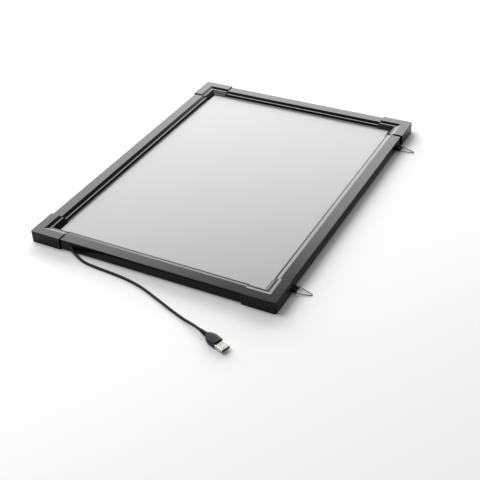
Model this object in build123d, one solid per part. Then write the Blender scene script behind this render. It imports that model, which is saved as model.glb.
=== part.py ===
"""LED panel light: a flat edge-lit panel in a black aluminium frame with plastic corner blocks.

The panel lies face up. X runs across it, Y along it and Z up. The origin is the middle of the plane
that the corner blocks stand on. All sizes are in millimetres.
"""

import math
import os

from build123d import *

# Overall size, over the corner blocks
WIDTH = 350.0
LENGTH = 470.0

# Frame rails: heights are above the resting plane, offsets run inwards from a rail's outer face
RAIL_BOTTOM = 1.4
RAIL_TOP = 15.0
RAIL_WALL = 1.2
TOP_FLAT = 14.6
SLOPE_RUN = 5.0
RIDGE_FLAT = 2.6
RIDGE_DROP = 2.0
LIP_THICKNESS = 1.4
LEDGE_WIDTH = 5.4
RAIL_EDGE_RADIUS = 0.5
GROOVE_DROP = 1.9
GROOVE_WIDTH = 0.9
GROOVE_DEPTH = 0.5

# Corner blocks: how they stand proud of the rails, and their arms
BLOCK_PROUD = 1.8
BLOCK_STEP = 1.2
BLOCK_ARM = 45.0
BLOCK_SET_BACK = 3.6
BLOCK_SLOPE_RUN = 4.5
BLOCK_RIDGE_FLAT = 2.8
BLOCK_RIDGE_DROP = 1.6
BLOCK_SKIRT_RUN = 6.8
BLOCK_SKIRT_GAP = 0.2
BLOCK_CORNER_RADIUS = 3.5
BLOCK_EDGE_RADIUS = 0.7
BLOCK_RIDGE_RADIUS = 0.6
JOINT_GAP = 0.2
TENON_LENGTH = 10.0
TENON_WALL = 1.4

# Steel corner plates and the screws that hold the joints
PLATE_THICKNESS = 2.5
PLATE_REACH_X = 12.7
PLATE_REACH_Y = 29.2
SCREW_DIAMETER = 2.9
SCREW_HEAD_DIAMETER = 5.2
SCREW_HEAD_HEIGHT = 1.1
SCREW_TAIL = 1.2
SCREW_INSET = 16.0
PLATE_END_MARGIN = 5.0
DRIVE_WIDTH = 0.7
DRIVE_LENGTH = 2.8
DRIVE_DEPTH = 0.6

# Light stack, from below: back panel, reflector, light guide, diffuser
BACK_PANEL_THICKNESS = 1.2
REFLECTOR_THICKNESS = 0.4
GUIDE_THICKNESS = 3.0
DIFFUSER_THICKNESS = 1.8
SIDE_MARGIN = 0.2
GUTTER = 2.2
GASKET_WIDTH = 5.0
GASKET_SET_BACK = 0.6

# LED strips along both long edges of the light guide
STRIP_THICKNESS = 0.8
STRIP_END_GAP = 3.0
LED_DEPTH = 0.9
LED_HEIGHT = 2.2
LED_LENGTH = 3.5
LED_PITCH = 10.0

# Electronics in the front rail
BOARD_LENGTH = 64.0
BOARD_SIDE_GAP = 0.9
BOARD_THICKNESS = 1.2
BOARD_FROM_RAIL_END = 35.8
TRAY_WALL = 0.8
TRAY_RISE = 1.6
# What stands on the board: offset along it, length, width and height
DRIVER_CHIP = (-3.0, 6.0, 5.0, 1.5)
INDUCTOR = (6.5, 5.0, 5.0, 3.0)
RECEIVER = (29.0, 4.0, 8.0, 4.0)
CAPACITOR_OFFSETS = (12.0, 17.0)
CAPACITOR_DIAMETER = 4.0
CAPACITOR_HEIGHT = 5.0
LED_LEAD_OFFSETS = (-14.0, 22.0)
LED_LEAD_DIAMETER = 0.9

# DC socket in the left rail, and its two wires
SOCKET_FROM_RAIL_END = 39.8
SOCKET_NOSE = 7.0
SOCKET_BORE = 5.5
SOCKET_PIN = 2.0
SOCKET_PIN_SET_BACK = 1.0
SOCKET_BACK_WALL = 1.5
SOCKET_END_ROOM = 1.2
SOCKET_SIDE_ROOM = 1.1
SOCKET_LEAD_DIAMETER = 1.2
SOCKET_LEAD_SPACING = 2.4
SOCKET_LEAD_RISE = 1.0
SOCKET_LEAD_BEND = 4.0
SOCKET_LEAD_DROP = 6.0
SOCKET_LEAD_OVERLAP = 5.0
SOCKET_LEAD_CLEARANCE = 0.6

# Hanger clips and wire rings on the right rail
HANGER_FROM_RAIL_END = {"front": 4.8, "back": 12.8}
CLIP_WIDTH = 9.0
CLIP_THICKNESS = 3.0
CLIP_EDGE_RADIUS = 0.6
CLIP_END_GAP = 0.3
CLIP_BOTTOM = 0.3
CLIP_HEIGHT = 4.5
LUG_SPACING = 6.8
LUG_WIDTH = 2.0
LUG_RADIUS = 1.6
RING_WIRE = 1.1
RING_BASE = 14.0
RING_LENGTH = 20.5
RING_CORNER = 1.1
RING_REACH = 4.8
RING_HEIGHT = 2.1
TONGUE_DEPTH = 10.5
CLIP_TONGUE = 0.6
CLIP_SCREW_DIAMETER = 2.0
CLIP_SCREW_HEAD = 3.6
CLIP_SCREW_HEAD_HEIGHT = 0.5
CLIP_DRIVE_LENGTH = 2.5
CLIP_DRIVE_WIDTH = 0.6
CLIP_SCREW_SPACING = 4.4

# Cord, its gland and its plug
CORD_DIAMETER = 3.2
CORD_HEIGHT = 1.65
GLAND_FROM_RAIL_END = 16.8
GLAND_HEIGHT = 6.6
GLAND_LENGTH = 11.0
GLAND_BASE_DIAMETER = 5.6
GLAND_TIP_DIAMETER = 4.2
GLAND_FLANGE_DIAMETER = 8.0
GLAND_FLANGE_THICKNESS = 0.8
GLAND_HEADING = (0.86, -0.47, -0.20)
CORD_FIRST_RUN = 6.0
CORD_ROUTE = [
    (-90.5, -244.1, 2.1),
    (-79.5, -247.0, CORD_HEIGHT),
    (-62.0, -248.7, CORD_HEIGHT),
    (-43.0, -249.9, CORD_HEIGHT),
    (-24.5, -251.6, CORD_HEIGHT),
    (-7.0, -254.6, CORD_HEIGHT),
    (10.0, -259.1, CORD_HEIGHT),
    (28.5, -266.4, CORD_HEIGHT),
    (46.0, -273.4, CORD_HEIGHT),
    (64.0, -280.8, CORD_HEIGHT),
    (81.0, -287.0, CORD_HEIGHT),
    (93.5, -291.4, 2.7),
    (103.0, -294.8, 3.9),
]
# A rounded corner of the route takes this share of its shorter run
CORNER_SHARE = 0.45
PLUG_TAIL = (111.4, -298.1)
PLUG_HEADING = (0.93, -0.368)
PLUG_THICKNESS = 7.8
TAIL_LENGTH = 12.0
TAIL_START_DIAMETER = 4.2
TAIL_END_DIAMETER = 6.4
TAIL_RIBS = 3
TAIL_RIB_DEPTH = 0.5
TAIL_COLLAR = 0.8
GRIP_LENGTH = 20.0
GRIP_REAR_WIDTH = 7.4
GRIP_WIDEST = 14.6
GRIP_FRONT_WIDTH = 13.2
GRIP_EDGE_RADIUS = 1.6
GRIP_WIDEST_PLACE = 11.0
SHELL_WIDTH = 12.0
SHELL_HEIGHT = 4.5
SHELL_WALL = 0.3
SHELL_EXPOSED = 12.0
SHELL_SUNK = 6.5
SHELL_EDGE_RADIUS = 0.5
WINDOW_SIDE = 2.2
WINDOW_OFFSET = 2.7
WINDOW_PLACE = 4.4
TONGUE_THICKNESS = 1.9
TONGUE_SET_BACK = 0.6
TONGUE_ROOT = 3.0
CONTACT_PLACES = (-3.5, -1.0, 1.0, 3.5)
CONTACT_WIDTH = 1.0
CONTACT_THICKNESS = 0.15
CONTACT_SET_BACK = 0.8

# Clearances
SLIDE_GAP = 0.15
HOLE_GAP = 0.1
# How far a cut runs on past what it cuts
OVERRUN = 1.0

# Worked out from the sizes above
HALF_X = WIDTH / 2 - BLOCK_PROUD
HALF_Y = LENGTH / 2 - BLOCK_PROUD
RAIL_WIDTH = TOP_FLAT + SLOPE_RUN + RIDGE_FLAT
LEDGE_REACH = TOP_FLAT + LEDGE_WIDTH
RIDGE_TOP = RAIL_TOP - RIDGE_DROP
LIP_UNDER = RIDGE_TOP - LIP_THICKNESS
LEDGE_TOP = RAIL_BOTTOM + RAIL_WALL
CHAMBER_TOP = RAIL_TOP - RAIL_WALL
CHAMBER_START = RAIL_WALL
CHAMBER_END = TOP_FLAT - RAIL_WALL
CHAMBER_MIDDLE = (CHAMBER_START + CHAMBER_END) / 2
BLOCK_TOP = RAIL_TOP + BLOCK_STEP
BLOCK_INNER = BLOCK_PROUD + RAIL_WIDTH - BLOCK_SET_BACK
BLOCK_FLAT = BLOCK_INNER - BLOCK_RIDGE_FLAT - BLOCK_SLOPE_RUN
JOINT_END = BLOCK_ARM + JOINT_GAP
RAIL_CUT_X = WIDTH / 2 - JOINT_END
RAIL_CUT_Y = LENGTH / 2 - JOINT_END
BACK_PANEL_TOP = LEDGE_TOP + BACK_PANEL_THICKNESS
REFLECTOR_TOP = BACK_PANEL_TOP + REFLECTOR_THICKNESS
GUIDE_TOP = REFLECTOR_TOP + GUIDE_THICKNESS
DIFFUSER_TOP = GUIDE_TOP + DIFFUSER_THICKNESS
GUIDE_EDGE = TOP_FLAT + SIDE_MARGIN + STRIP_THICKNESS + LED_DEPTH + SIDE_MARGIN
PLATE_BOTTOM = LEDGE_TOP + SLIDE_GAP
PLATE_TOP = PLATE_BOTTOM + PLATE_THICKNESS
RING_X = HALF_X + RING_REACH
HANGER_Y = {"front": -RAIL_CUT_Y + HANGER_FROM_RAIL_END["front"]}
HANGER_Y["back"] = RAIL_CUT_Y - HANGER_FROM_RAIL_END["back"]
GLAND_X = -RAIL_CUT_X + GLAND_FROM_RAIL_END
BOARD_X = -RAIL_CUT_X + BOARD_FROM_RAIL_END + BOARD_LENGTH / 2
BOARD_Y = -HALF_Y + CHAMBER_MIDDLE
BOARD_WIDTH = CHAMBER_END - CHAMBER_START - 2 * BOARD_SIDE_GAP
TRAY_BOTTOM = LEDGE_TOP
BOARD_BOTTOM = TRAY_BOTTOM + TRAY_WALL + TRAY_RISE
BOARD_TOP = BOARD_BOTTOM + BOARD_THICKNESS
LEAD_HEIGHT = BOARD_TOP + LED_LEAD_DIAMETER / 2
LEAD_EXITS = [BOARD_X + offset for offset in LED_LEAD_OFFSETS]
GUTTER_Y = -HALF_Y + TOP_FLAT + GUTTER / 2
SOCKET_Y = -RAIL_CUT_Y + SOCKET_FROM_RAIL_END
SOCKET_HEIGHT = (LEDGE_TOP + CHAMBER_TOP) / 2
SOCKET_SIDE = CHAMBER_TOP - LEDGE_TOP - 2 * SOCKET_SIDE_ROOM
SOCKET_LENGTH = CHAMBER_END - CHAMBER_START - SOCKET_END_ROOM
PLUG_HEIGHT = PLUG_THICKNESS / 2
UP = Vector(0, 0, 1)
INWARD = {"front": Vector(0, 1, 0), "right": Vector(-1, 0, 0)}
INWARD.update({"back": Vector(0, -1, 0), "left": Vector(1, 0, 0)})

parts = {}


def box(x, y, z):
    """A box between pairs of X, Y and Z limits."""
    size = (x[1] - x[0], y[1] - y[0], z[1] - z[0])
    middle = ((x[0] + x[1]) / 2, (y[0] + y[1]) / 2, (z[0] + z[1]) / 2)
    return Pos(*middle) * Box(*size)


def polygon(points):
    """A face from a list of corner points on the XY plane."""
    return make_face(Polyline(points, close=True))


def side_plane(side):
    """The plane of a rail's section: X inwards from the rail's outer face, Y up, Z along the rail."""
    inward = INWARD[side]
    origin = Vector(-inward.X * HALF_X, -inward.Y * HALF_Y, 0)
    return Plane(origin=origin, x_dir=inward, z_dir=inward.cross(UP))


def rail_half(side):
    """Half the length of a rail between its joints."""
    return RAIL_CUT_X if side in ("front", "back") else RAIL_CUT_Y


# ---------------------------------------------------------------------------------------------
# Frame rails
# ---------------------------------------------------------------------------------------------


def rail_section():
    """A rail's section: a hollow box with a sloping lip and, under it, the channel for the panel."""
    groove_top = RAIL_TOP - GROOVE_DROP
    groove_bottom = groove_top - GROOVE_WIDTH
    outline = polygon(
        [
            (0, RAIL_BOTTOM),
            (0, groove_bottom),
            (GROOVE_DEPTH, groove_bottom),
            (GROOVE_DEPTH, groove_top),
            (0, groove_top),
            (0, RAIL_TOP),
            (TOP_FLAT, RAIL_TOP),
            (TOP_FLAT + SLOPE_RUN, RIDGE_TOP),
            (RAIL_WIDTH, RIDGE_TOP),
            (RAIL_WIDTH, LIP_UNDER),
            (TOP_FLAT, LIP_UNDER),
            (TOP_FLAT, LEDGE_TOP),
            (LEDGE_REACH, LEDGE_TOP),
            (LEDGE_REACH, RAIL_BOTTOM),
        ]
    )
    rounded = [(0, RAIL_BOTTOM), (0, RAIL_TOP), (TOP_FLAT, RAIL_TOP), (RAIL_WIDTH, RIDGE_TOP)]
    corners = [outline.vertices().sort_by_distance((*place, 0))[0] for place in rounded]
    outline = fillet(corners, RAIL_EDGE_RADIUS)
    chamber = polygon(
        [
            (CHAMBER_START, LEDGE_TOP),
            (CHAMBER_START, CHAMBER_TOP),
            (CHAMBER_END, CHAMBER_TOP),
            (CHAMBER_END, LEDGE_TOP),
        ]
    )
    return outline - chamber


def screw_places(along_x, along_y):
    """The screws of the front left corner: one on each arm, at its own distance from the corner."""
    across = BLOCK_PROUD + CHAMBER_MIDDLE
    return [(along_x, across), (across, along_y)]


def at_corner(shape, side_x, side_y):
    """A shape modelled at the front left corner, moved to the corner on the given sides."""
    moved = Pos(-WIDTH / 2, -LENGTH / 2, 0) * shape
    if side_x > 0:
        moved = mirror(moved, about=Plane.YZ)
    if side_y > 0:
        moved = mirror(moved, about=Plane.XZ)
    return moved


CORNERS = {
    "front_left": (-1, -1),
    "front_right": (1, -1),
    "back_left": (-1, 1),
    "back_right": (1, 1),
}
BLOCK_SCREWS = screw_places(BLOCK_ARM - SCREW_INSET, BLOCK_ARM - SCREW_INSET)
RAIL_SCREWS = screw_places(
    JOINT_END + PLATE_REACH_X - PLATE_END_MARGIN, JOINT_END + PLATE_REACH_Y - PLATE_END_MARGIN
)


def countersink(x, y, z):
    """The hole for a countersunk screw whose head starts at height z."""
    head = SCREW_HEAD_DIAMETER / 2 + HOLE_GAP
    shank = SCREW_DIAMETER / 2 + HOLE_GAP
    cone = Pos(x, y, z + SCREW_HEAD_HEIGHT / 2) * Cone(head, shank, SCREW_HEAD_HEIGHT)
    below = Pos(x, y, z - OVERRUN) * Cylinder(head, 2 * OVERRUN)
    above = Pos(x, y, z + SCREW_HEAD_HEIGHT) * Cylinder(shank, 2 * RAIL_WALL + RAIL_BOTTOM)
    return cone + below + above


def rail_screw_holes():
    """The countersunk holes of all the rails, two at the ends of each."""
    holes = []
    for sides in CORNERS.values():
        for place in RAIL_SCREWS:
            holes.append(at_corner(countersink(*place, RAIL_BOTTOM + HOLE_GAP), *sides))
    return holes


def gland_axis():
    """Where the cord's gland stands on the front rail, and the direction that it points in."""
    return Vector(GLAND_X, -HALF_Y, GLAND_HEIGHT), Vector(*GLAND_HEADING).normalized()


def build_rails():
    """The four aluminium rails, with their screw holes and the holes for the gland and the wires."""
    holes = rail_screw_holes()
    gland_hole = Pos(GLAND_X, -HALF_Y + RAIL_WALL / 2, GLAND_HEIGHT) * Rot(90, 0, 0)
    holes.append(gland_hole * Cylinder(GLAND_BASE_DIAMETER / 2 + HOLE_GAP, 2 * RAIL_WALL))
    socket_hole = Pos(-HALF_X + RAIL_WALL / 2, SOCKET_Y, SOCKET_HEIGHT) * Rot(0, 90, 0)
    holes.append(socket_hole * Cylinder(SOCKET_NOSE / 2 + HOLE_GAP, 2 * RAIL_WALL))
    for x in LEAD_EXITS:
        wall_y = -HALF_Y + CHAMBER_END + RAIL_WALL / 2
        through = Pos(x, wall_y, LEAD_HEIGHT) * Rot(90, 0, 0)
        holes.append(through * Cylinder(LED_LEAD_DIAMETER / 2 + HOLE_GAP, 2 * RAIL_WALL))
    holes += clip_screw_holes()
    for side in INWARD:
        rail = extrude(side_plane(side) * rail_section(), amount=rail_half(side), both=True)
        for hole in holes:
            rail -= hole
        parts[f"rail_{side}"] = rail


# ---------------------------------------------------------------------------------------------
# Corner blocks, plates and screws
# ---------------------------------------------------------------------------------------------


MITRE = Plane(origin=(0, 0, 0), z_dir=(1, -1, 0))


def mitred_arm(section, length):
    """A section run along X from the corner and cut at the mitre."""
    arm = extrude(Plane(origin=(0, 0, 0), x_dir=(0, 1, 0), z_dir=(1, 0, 0)) * section, amount=length)
    return split(arm, bisect_by=MITRE, keep=Keep.TOP)


def bent(section, along_x, along_y):
    """A section run round the corner, with an arm of its own length along X and along Y."""
    return mitred_arm(section, along_x) + mirror(mitred_arm(section, along_y), about=MITRE)


def block_section():
    """A corner block's section, with the same channel for the panel as the rails."""
    ridge = BLOCK_TOP - BLOCK_RIDGE_DROP
    foot = DIFFUSER_TOP + BLOCK_SKIRT_GAP
    wall = BLOCK_PROUD + TOP_FLAT
    skirt_back = BLOCK_PROUD + RAIL_WIDTH - GASKET_SET_BACK + SIDE_MARGIN
    slope_end = BLOCK_FLAT + BLOCK_SLOPE_RUN
    outline = polygon(
        [
            (0, 0),
            (0, BLOCK_TOP),
            (BLOCK_FLAT, BLOCK_TOP),
            (slope_end, ridge),
            (BLOCK_INNER, ridge),
            (BLOCK_INNER + BLOCK_SKIRT_RUN, foot),
            (skirt_back, foot),
            (skirt_back, LIP_UNDER),
            (wall, LIP_UNDER),
            (wall, LEDGE_TOP),
            (BLOCK_PROUD + LEDGE_REACH, LEDGE_TOP),
            (BLOCK_PROUD + LEDGE_REACH, 0),
        ]
    )
    rounded = [(BLOCK_FLAT, BLOCK_TOP), (slope_end, ridge), (BLOCK_INNER, ridge)]
    corners = [outline.vertices().sort_by_distance((*place, 0))[0] for place in rounded]
    return fillet(corners, BLOCK_RIDGE_RADIUS)


def rectangle(u, z):
    """A rectangular face between offsets u and heights z."""
    return polygon([(u[0], z[0]), (u[0], z[1]), (u[1], z[1]), (u[1], z[0])])


def corner_block():
    """The front left corner block: a hollow moulding with a plug for the end of each rail."""
    block = bent(block_section(), BLOCK_ARM, BLOCK_ARM)
    upright = block.edges().filter_by(Axis.Z).sort_by_distance((0, 0, BLOCK_TOP / 2))[0]
    block = fillet(upright, BLOCK_CORNER_RADIUS)
    rim = [e for e in block.edges().filter_by_position(Axis.Z, BLOCK_TOP, BLOCK_TOP) if on_rim(e)]
    block = fillet(rim, BLOCK_EDGE_RADIUS)
    chamber = (BLOCK_PROUD + CHAMBER_START, BLOCK_PROUD + CHAMBER_END)
    block -= bent(rectangle(chamber, (LEDGE_TOP, CHAMBER_TOP)), BLOCK_ARM, BLOCK_ARM)
    tenon_u = (chamber[0] + SLIDE_GAP, chamber[1] - SLIDE_GAP)
    tenon_top = CHAMBER_TOP - SLIDE_GAP
    void_u = (tenon_u[0] + TENON_WALL, tenon_u[1] - TENON_WALL)
    root = BLOCK_ARM - TENON_LENGTH
    tip = JOINT_END + TENON_LENGTH
    shell = rectangle(tenon_u, (PLATE_TOP + SLIDE_GAP, tenon_top))
    void = rectangle(void_u, (PLATE_TOP, tenon_top - TENON_WALL))
    start = Plane(origin=(root, 0, 0), x_dir=(0, 1, 0), z_dir=(1, 0, 0))
    web = rectangle(chamber, (PLATE_TOP + SLIDE_GAP, CHAMBER_TOP)) - void
    tenon = extrude(start * (shell - void), amount=tip - root)
    tenon += extrude(start * web, amount=TENON_WALL)
    block += tenon + mirror(tenon, about=MITRE)
    for place in BLOCK_SCREWS:
        block -= countersink(*place, HOLE_GAP)
    return block


def on_rim(edge):
    """Whether an edge of a block lies on its two outer faces or on the round between them."""
    middle = edge.position_at(0.5)
    return min(middle.X, middle.Y) < BLOCK_CORNER_RADIUS / 2


def corner_plate():
    """The L-shaped steel plate that lies in the block and reaches into both rails."""
    u = (BLOCK_PROUD + CHAMBER_START + SLIDE_GAP, BLOCK_PROUD + CHAMBER_END - SLIDE_GAP)
    section = rectangle(u, (PLATE_BOTTOM, PLATE_TOP))
    plate = bent(section, JOINT_END + PLATE_REACH_X, JOINT_END + PLATE_REACH_Y)
    for x, y in (*BLOCK_SCREWS, *RAIL_SCREWS):
        plate -= Pos(x, y, PLATE_TOP) * Cylinder(SCREW_DIAMETER / 2 + HOLE_GAP, 4 * PLATE_THICKNESS)
    return plate


def frame_screw(x, y, z):
    """A countersunk screw, head down, with a cross recess in its head."""
    shank_length = PLATE_TOP + SCREW_TAIL - z - SCREW_HEAD_HEIGHT
    head = Pos(x, y, z + SCREW_HEAD_HEIGHT / 2)
    head = head * Cone(SCREW_HEAD_DIAMETER / 2, SCREW_DIAMETER / 2, SCREW_HEAD_HEIGHT)
    shank = Pos(x, y, z + SCREW_HEAD_HEIGHT + shank_length / 2)
    screw = head + shank * Cylinder(SCREW_DIAMETER / 2, shank_length)
    slot = Box(DRIVE_LENGTH, DRIVE_WIDTH, 2 * DRIVE_DEPTH)
    return screw - Pos(x, y, z) * slot - Pos(x, y, z) * Rot(0, 0, 90) * slot


def build_corners():
    """Blocks, plates and screws at the four corners."""
    block = corner_block()
    plate = corner_plate()
    screws = []
    for name, sides in CORNERS.items():
        parts[f"corner_block_{name}"] = at_corner(block, *sides)
        placed = at_corner(plate, *sides)
        for hole in clip_screw_holes():
            placed -= hole
        parts[f"corner_plate_{name}"] = placed
        for place in BLOCK_SCREWS:
            screws.append(at_corner(frame_screw(*place, HOLE_GAP), *sides))
        for place in RAIL_SCREWS:
            screws.append(at_corner(frame_screw(*place, RAIL_BOTTOM + HOLE_GAP), *sides))
    parts["frame_screws"] = Compound(children=screws)


# ---------------------------------------------------------------------------------------------
# Light stack
# ---------------------------------------------------------------------------------------------


def sheet(edge_x, edge_y, bottom, top):
    """A sheet whose edges are set in from the rails' outer faces."""
    x = HALF_X - edge_x
    y = HALF_Y - edge_y
    return box((-x, x), (-y, y), (bottom, top))


def led_heights():
    """The lowest and highest points of an LED, level with the middle of the light guide."""
    middle = (REFLECTOR_TOP + GUIDE_TOP) / 2
    return middle - LED_HEIGHT / 2, middle + LED_HEIGHT / 2


def build_light_stack():
    """Back panel, reflector, light guide, diffuser, gasket strips and the two LED strips."""
    side = TOP_FLAT + SIDE_MARGIN
    end = TOP_FLAT + GUTTER
    parts["back_panel"] = sheet(side, end, LEDGE_TOP, BACK_PANEL_TOP)
    parts["reflector_sheet"] = sheet(GUIDE_EDGE, end, BACK_PANEL_TOP, REFLECTOR_TOP)
    parts["light_guide"] = sheet(GUIDE_EDGE, end, REFLECTOR_TOP, GUIDE_TOP)
    parts["diffuser_sheet"] = sheet(side, end, GUIDE_TOP, DIFFUSER_TOP)

    inner = RAIL_WIDTH - GASKET_SET_BACK
    outer = inner - GASKET_WIDTH
    height = (DIFFUSER_TOP, LIP_UNDER)
    long_y = HALF_Y - outer
    short_x = HALF_X - inner
    for name, sign in (("left", -1), ("right", 1)):
        x = sorted((sign * (HALF_X - outer), sign * (HALF_X - inner)))
        parts[f"gasket_{name}"] = box(x, (-long_y, long_y), height)
    for name, sign in (("front", -1), ("back", 1)):
        y = sorted((sign * (HALF_Y - outer), sign * (HALF_Y - inner)))
        parts[f"gasket_{name}"] = box((-short_x, short_x), y, height)

    strip_half = HALF_Y - end - STRIP_END_GAP
    count = int((2 * strip_half - LED_LENGTH) // LED_PITCH)
    for name, sign in (("left", -1), ("right", 1)):
        back = HALF_X - side
        front = back - STRIP_THICKNESS
        x = sorted((sign * back, sign * front))
        strip_z = (BACK_PANEL_TOP + SLIDE_GAP, GUIDE_TOP - SLIDE_GAP)
        parts[f"led_strip_{name}"] = box(x, (-strip_half, strip_half), strip_z)
        led_x = sorted((sign * front, sign * (front - LED_DEPTH)))
        leds = []
        for index in range(count + 1):
            y = (index - count / 2) * LED_PITCH
            leds.append(box(led_x, (y - LED_LENGTH / 2, y + LED_LENGTH / 2), led_heights()))
        parts[f"leds_{name}"] = Compound(children=leds)


# ---------------------------------------------------------------------------------------------
# Electronics
# ---------------------------------------------------------------------------------------------


def wire(points, radius, diameter):
    """A round wire along straight runs, with its corners rounded."""
    path = FilletPolyline(*points, radius=radius)
    start = Plane(origin=path @ 0, z_dir=path % 0)
    return sweep(start * Circle(diameter / 2), path=path)


def build_electronics():
    """The control board in its tray, what stands on it, and the wires to the LED strips."""
    half = BOARD_LENGTH / 2
    x = (BOARD_X - half, BOARD_X + half)
    tray_half = BOARD_WIDTH / 2
    tray = box(x, (BOARD_Y - tray_half, BOARD_Y + tray_half), (TRAY_BOTTOM, BOARD_BOTTOM))
    hollow_half = tray_half - TRAY_WALL
    hollow_x = (x[0] + TRAY_WALL, x[1] - TRAY_WALL)
    hollow_z = (TRAY_BOTTOM + TRAY_WALL, BOARD_BOTTOM)
    parts["board_tray"] = tray - box(
        hollow_x, (BOARD_Y - hollow_half, BOARD_Y + hollow_half), hollow_z
    )
    board_y = (BOARD_Y - tray_half, BOARD_Y + tray_half)
    parts["control_board"] = box(x, board_y, (BOARD_BOTTOM, BOARD_TOP))

    components = {"driver_chip": DRIVER_CHIP, "inductor": INDUCTOR, "receiver_module": RECEIVER}
    for name, (offset, length, width, height) in components.items():
        middle = BOARD_X + offset
        parts[name] = box(
            (middle - length / 2, middle + length / 2),
            (BOARD_Y - width / 2, BOARD_Y + width / 2),
            (BOARD_TOP, BOARD_TOP + height),
        )
    capacitors = []
    for offset in CAPACITOR_OFFSETS:
        middle = Pos(BOARD_X + offset, BOARD_Y, BOARD_TOP + CAPACITOR_HEIGHT / 2)
        capacitors.append(middle * Cylinder(CAPACITOR_DIAMETER / 2, CAPACITOR_HEIGHT))
    parts["capacitors"] = Compound(children=capacitors)

    leads = []
    strip_x = HALF_X - TOP_FLAT - SIDE_MARGIN - STRIP_THICKNESS / 2
    strip_y = -(HALF_Y - TOP_FLAT - GUTTER - STRIP_END_GAP)
    for exit_x, sign in zip(LEAD_EXITS, (-1, 1)):
        route = [
            (exit_x, BOARD_Y, LEAD_HEIGHT),
            (exit_x, GUTTER_Y, LEAD_HEIGHT),
            (sign * strip_x, GUTTER_Y, LEAD_HEIGHT),
            (sign * strip_x, strip_y, LEAD_HEIGHT),
        ]
        leads.append(wire(route, LED_LEAD_DIAMETER / 2 + HOLE_GAP, LED_LEAD_DIAMETER))
    parts["led_leads"] = Compound(children=leads)


def build_socket():
    """The DC socket in the left rail, its centre pin, and its two wires to the board."""
    back = -HALF_X + RAIL_WALL + SLIDE_GAP
    half = SOCKET_SIDE / 2
    body = box(
        (back, back + SOCKET_LENGTH),
        (SOCKET_Y - half, SOCKET_Y + half),
        (SOCKET_HEIGHT - half, SOCKET_HEIGHT + half),
    )
    nose_length = RAIL_WALL + SLIDE_GAP
    along = Pos(back - nose_length / 2, SOCKET_Y, SOCKET_HEIGHT) * Rot(0, 90, 0)
    body += along * Cylinder(SOCKET_NOSE / 2, nose_length)
    depth = SOCKET_LENGTH - SOCKET_BACK_WALL
    bore = Pos(-HALF_X + depth / 2, SOCKET_Y, SOCKET_HEIGHT) * Rot(0, 90, 0)
    parts["dc_socket"] = body - bore * Cylinder(SOCKET_BORE / 2, depth)
    pin_length = depth - SOCKET_PIN_SET_BACK
    pin = Pos(-HALF_X + depth - pin_length / 2, SOCKET_Y, SOCKET_HEIGHT) * Rot(0, 90, 0)
    parts["dc_socket_pin"] = pin * Cylinder(SOCKET_PIN / 2, pin_length)

    wires = []
    line_x = -HALF_X + CHAMBER_MIDDLE
    start_y = SOCKET_Y - SOCKET_SIDE / 2
    board_end = BOARD_X - BOARD_LENGTH / 2
    for index in (-1, 1):
        shift = index * SOCKET_LEAD_SPACING / 2
        height = SOCKET_HEIGHT + SOCKET_LEAD_RISE
        end_height = BOARD_TOP + SOCKET_LEAD_DIAMETER / 2 + SOCKET_LEAD_CLEARANCE
        route = [
            (line_x + shift, start_y, height),
            (line_x + shift, BOARD_Y + shift, height),
            (board_end - SOCKET_LEAD_DROP, BOARD_Y + shift, height),
            (board_end + SOCKET_LEAD_OVERLAP, BOARD_Y + shift, end_height),
        ]
        wires.append(wire(route, SOCKET_LEAD_BEND, SOCKET_LEAD_DIAMETER))
    parts["dc_leads"] = Compound(children=wires)


# ---------------------------------------------------------------------------------------------
# Hangers
# ---------------------------------------------------------------------------------------------


def clip_screw_places(name):
    """Where a clip's two screws go through the floor of the right rail into the plate above it."""
    shift = CLIP_SCREW_SPACING / 2
    return [(HALF_X - CHAMBER_MIDDLE, HANGER_Y[name] + side * shift) for side in (-1, 1)]


def clip_screw_holes():
    """The holes for the screws of both clips, through the clip, the rail's floor and the plate."""
    holes = []
    for name in HANGER_Y:
        for x, y in clip_screw_places(name):
            middle = Pos(x, y, (RAIL_BOTTOM + PLATE_TOP) / 2)
            holes.append(middle * Cylinder(CLIP_SCREW_DIAMETER / 2 + HOLE_GAP, 2 * PLATE_TOP))
    return holes


def hanger_clip(name):
    """A clip under the right rail's outer edge, with two lugs that the ring's base turns in."""
    y = HANGER_Y[name]
    half = CLIP_WIDTH / 2
    clip = box(
        (HALF_X, HALF_X + CLIP_THICKNESS), (y - half, y + half), (CLIP_BOTTOM, CLIP_BOTTOM + CLIP_HEIGHT)
    )
    front = [e for e in clip.edges().filter_by(Axis.Y) if e.center().X > HALF_X + CLIP_THICKNESS / 2]
    clip = fillet(front, CLIP_EDGE_RADIUS)
    tongue_half = half - CLIP_END_GAP
    clip += box(
        (HALF_X - TONGUE_DEPTH, HALF_X + CLIP_THICKNESS / 2),
        (y - tongue_half, y + tongue_half),
        (RAIL_BOTTOM - CLIP_TONGUE, RAIL_BOTTOM),
    )
    for side in (-1, 1):
        middle = y + side * LUG_SPACING / 2
        lug = Pos(RING_X, middle, RING_HEIGHT) * Rot(90, 0, 0) * Cylinder(LUG_RADIUS, LUG_WIDTH)
        lug += box(
            (HALF_X + CLIP_THICKNESS / 2, RING_X),
            (middle - LUG_WIDTH / 2, middle + LUG_WIDTH / 2),
            (RING_HEIGHT - LUG_RADIUS, RING_HEIGHT + LUG_RADIUS),
        )
        clip += lug
    eye = Pos(RING_X, y, RING_HEIGHT) * Rot(90, 0, 0) * Cylinder(RING_WIRE / 2 + HOLE_GAP, CLIP_WIDTH)
    clip -= eye
    for hole in clip_screw_holes():
        clip -= hole
    return clip


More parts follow.
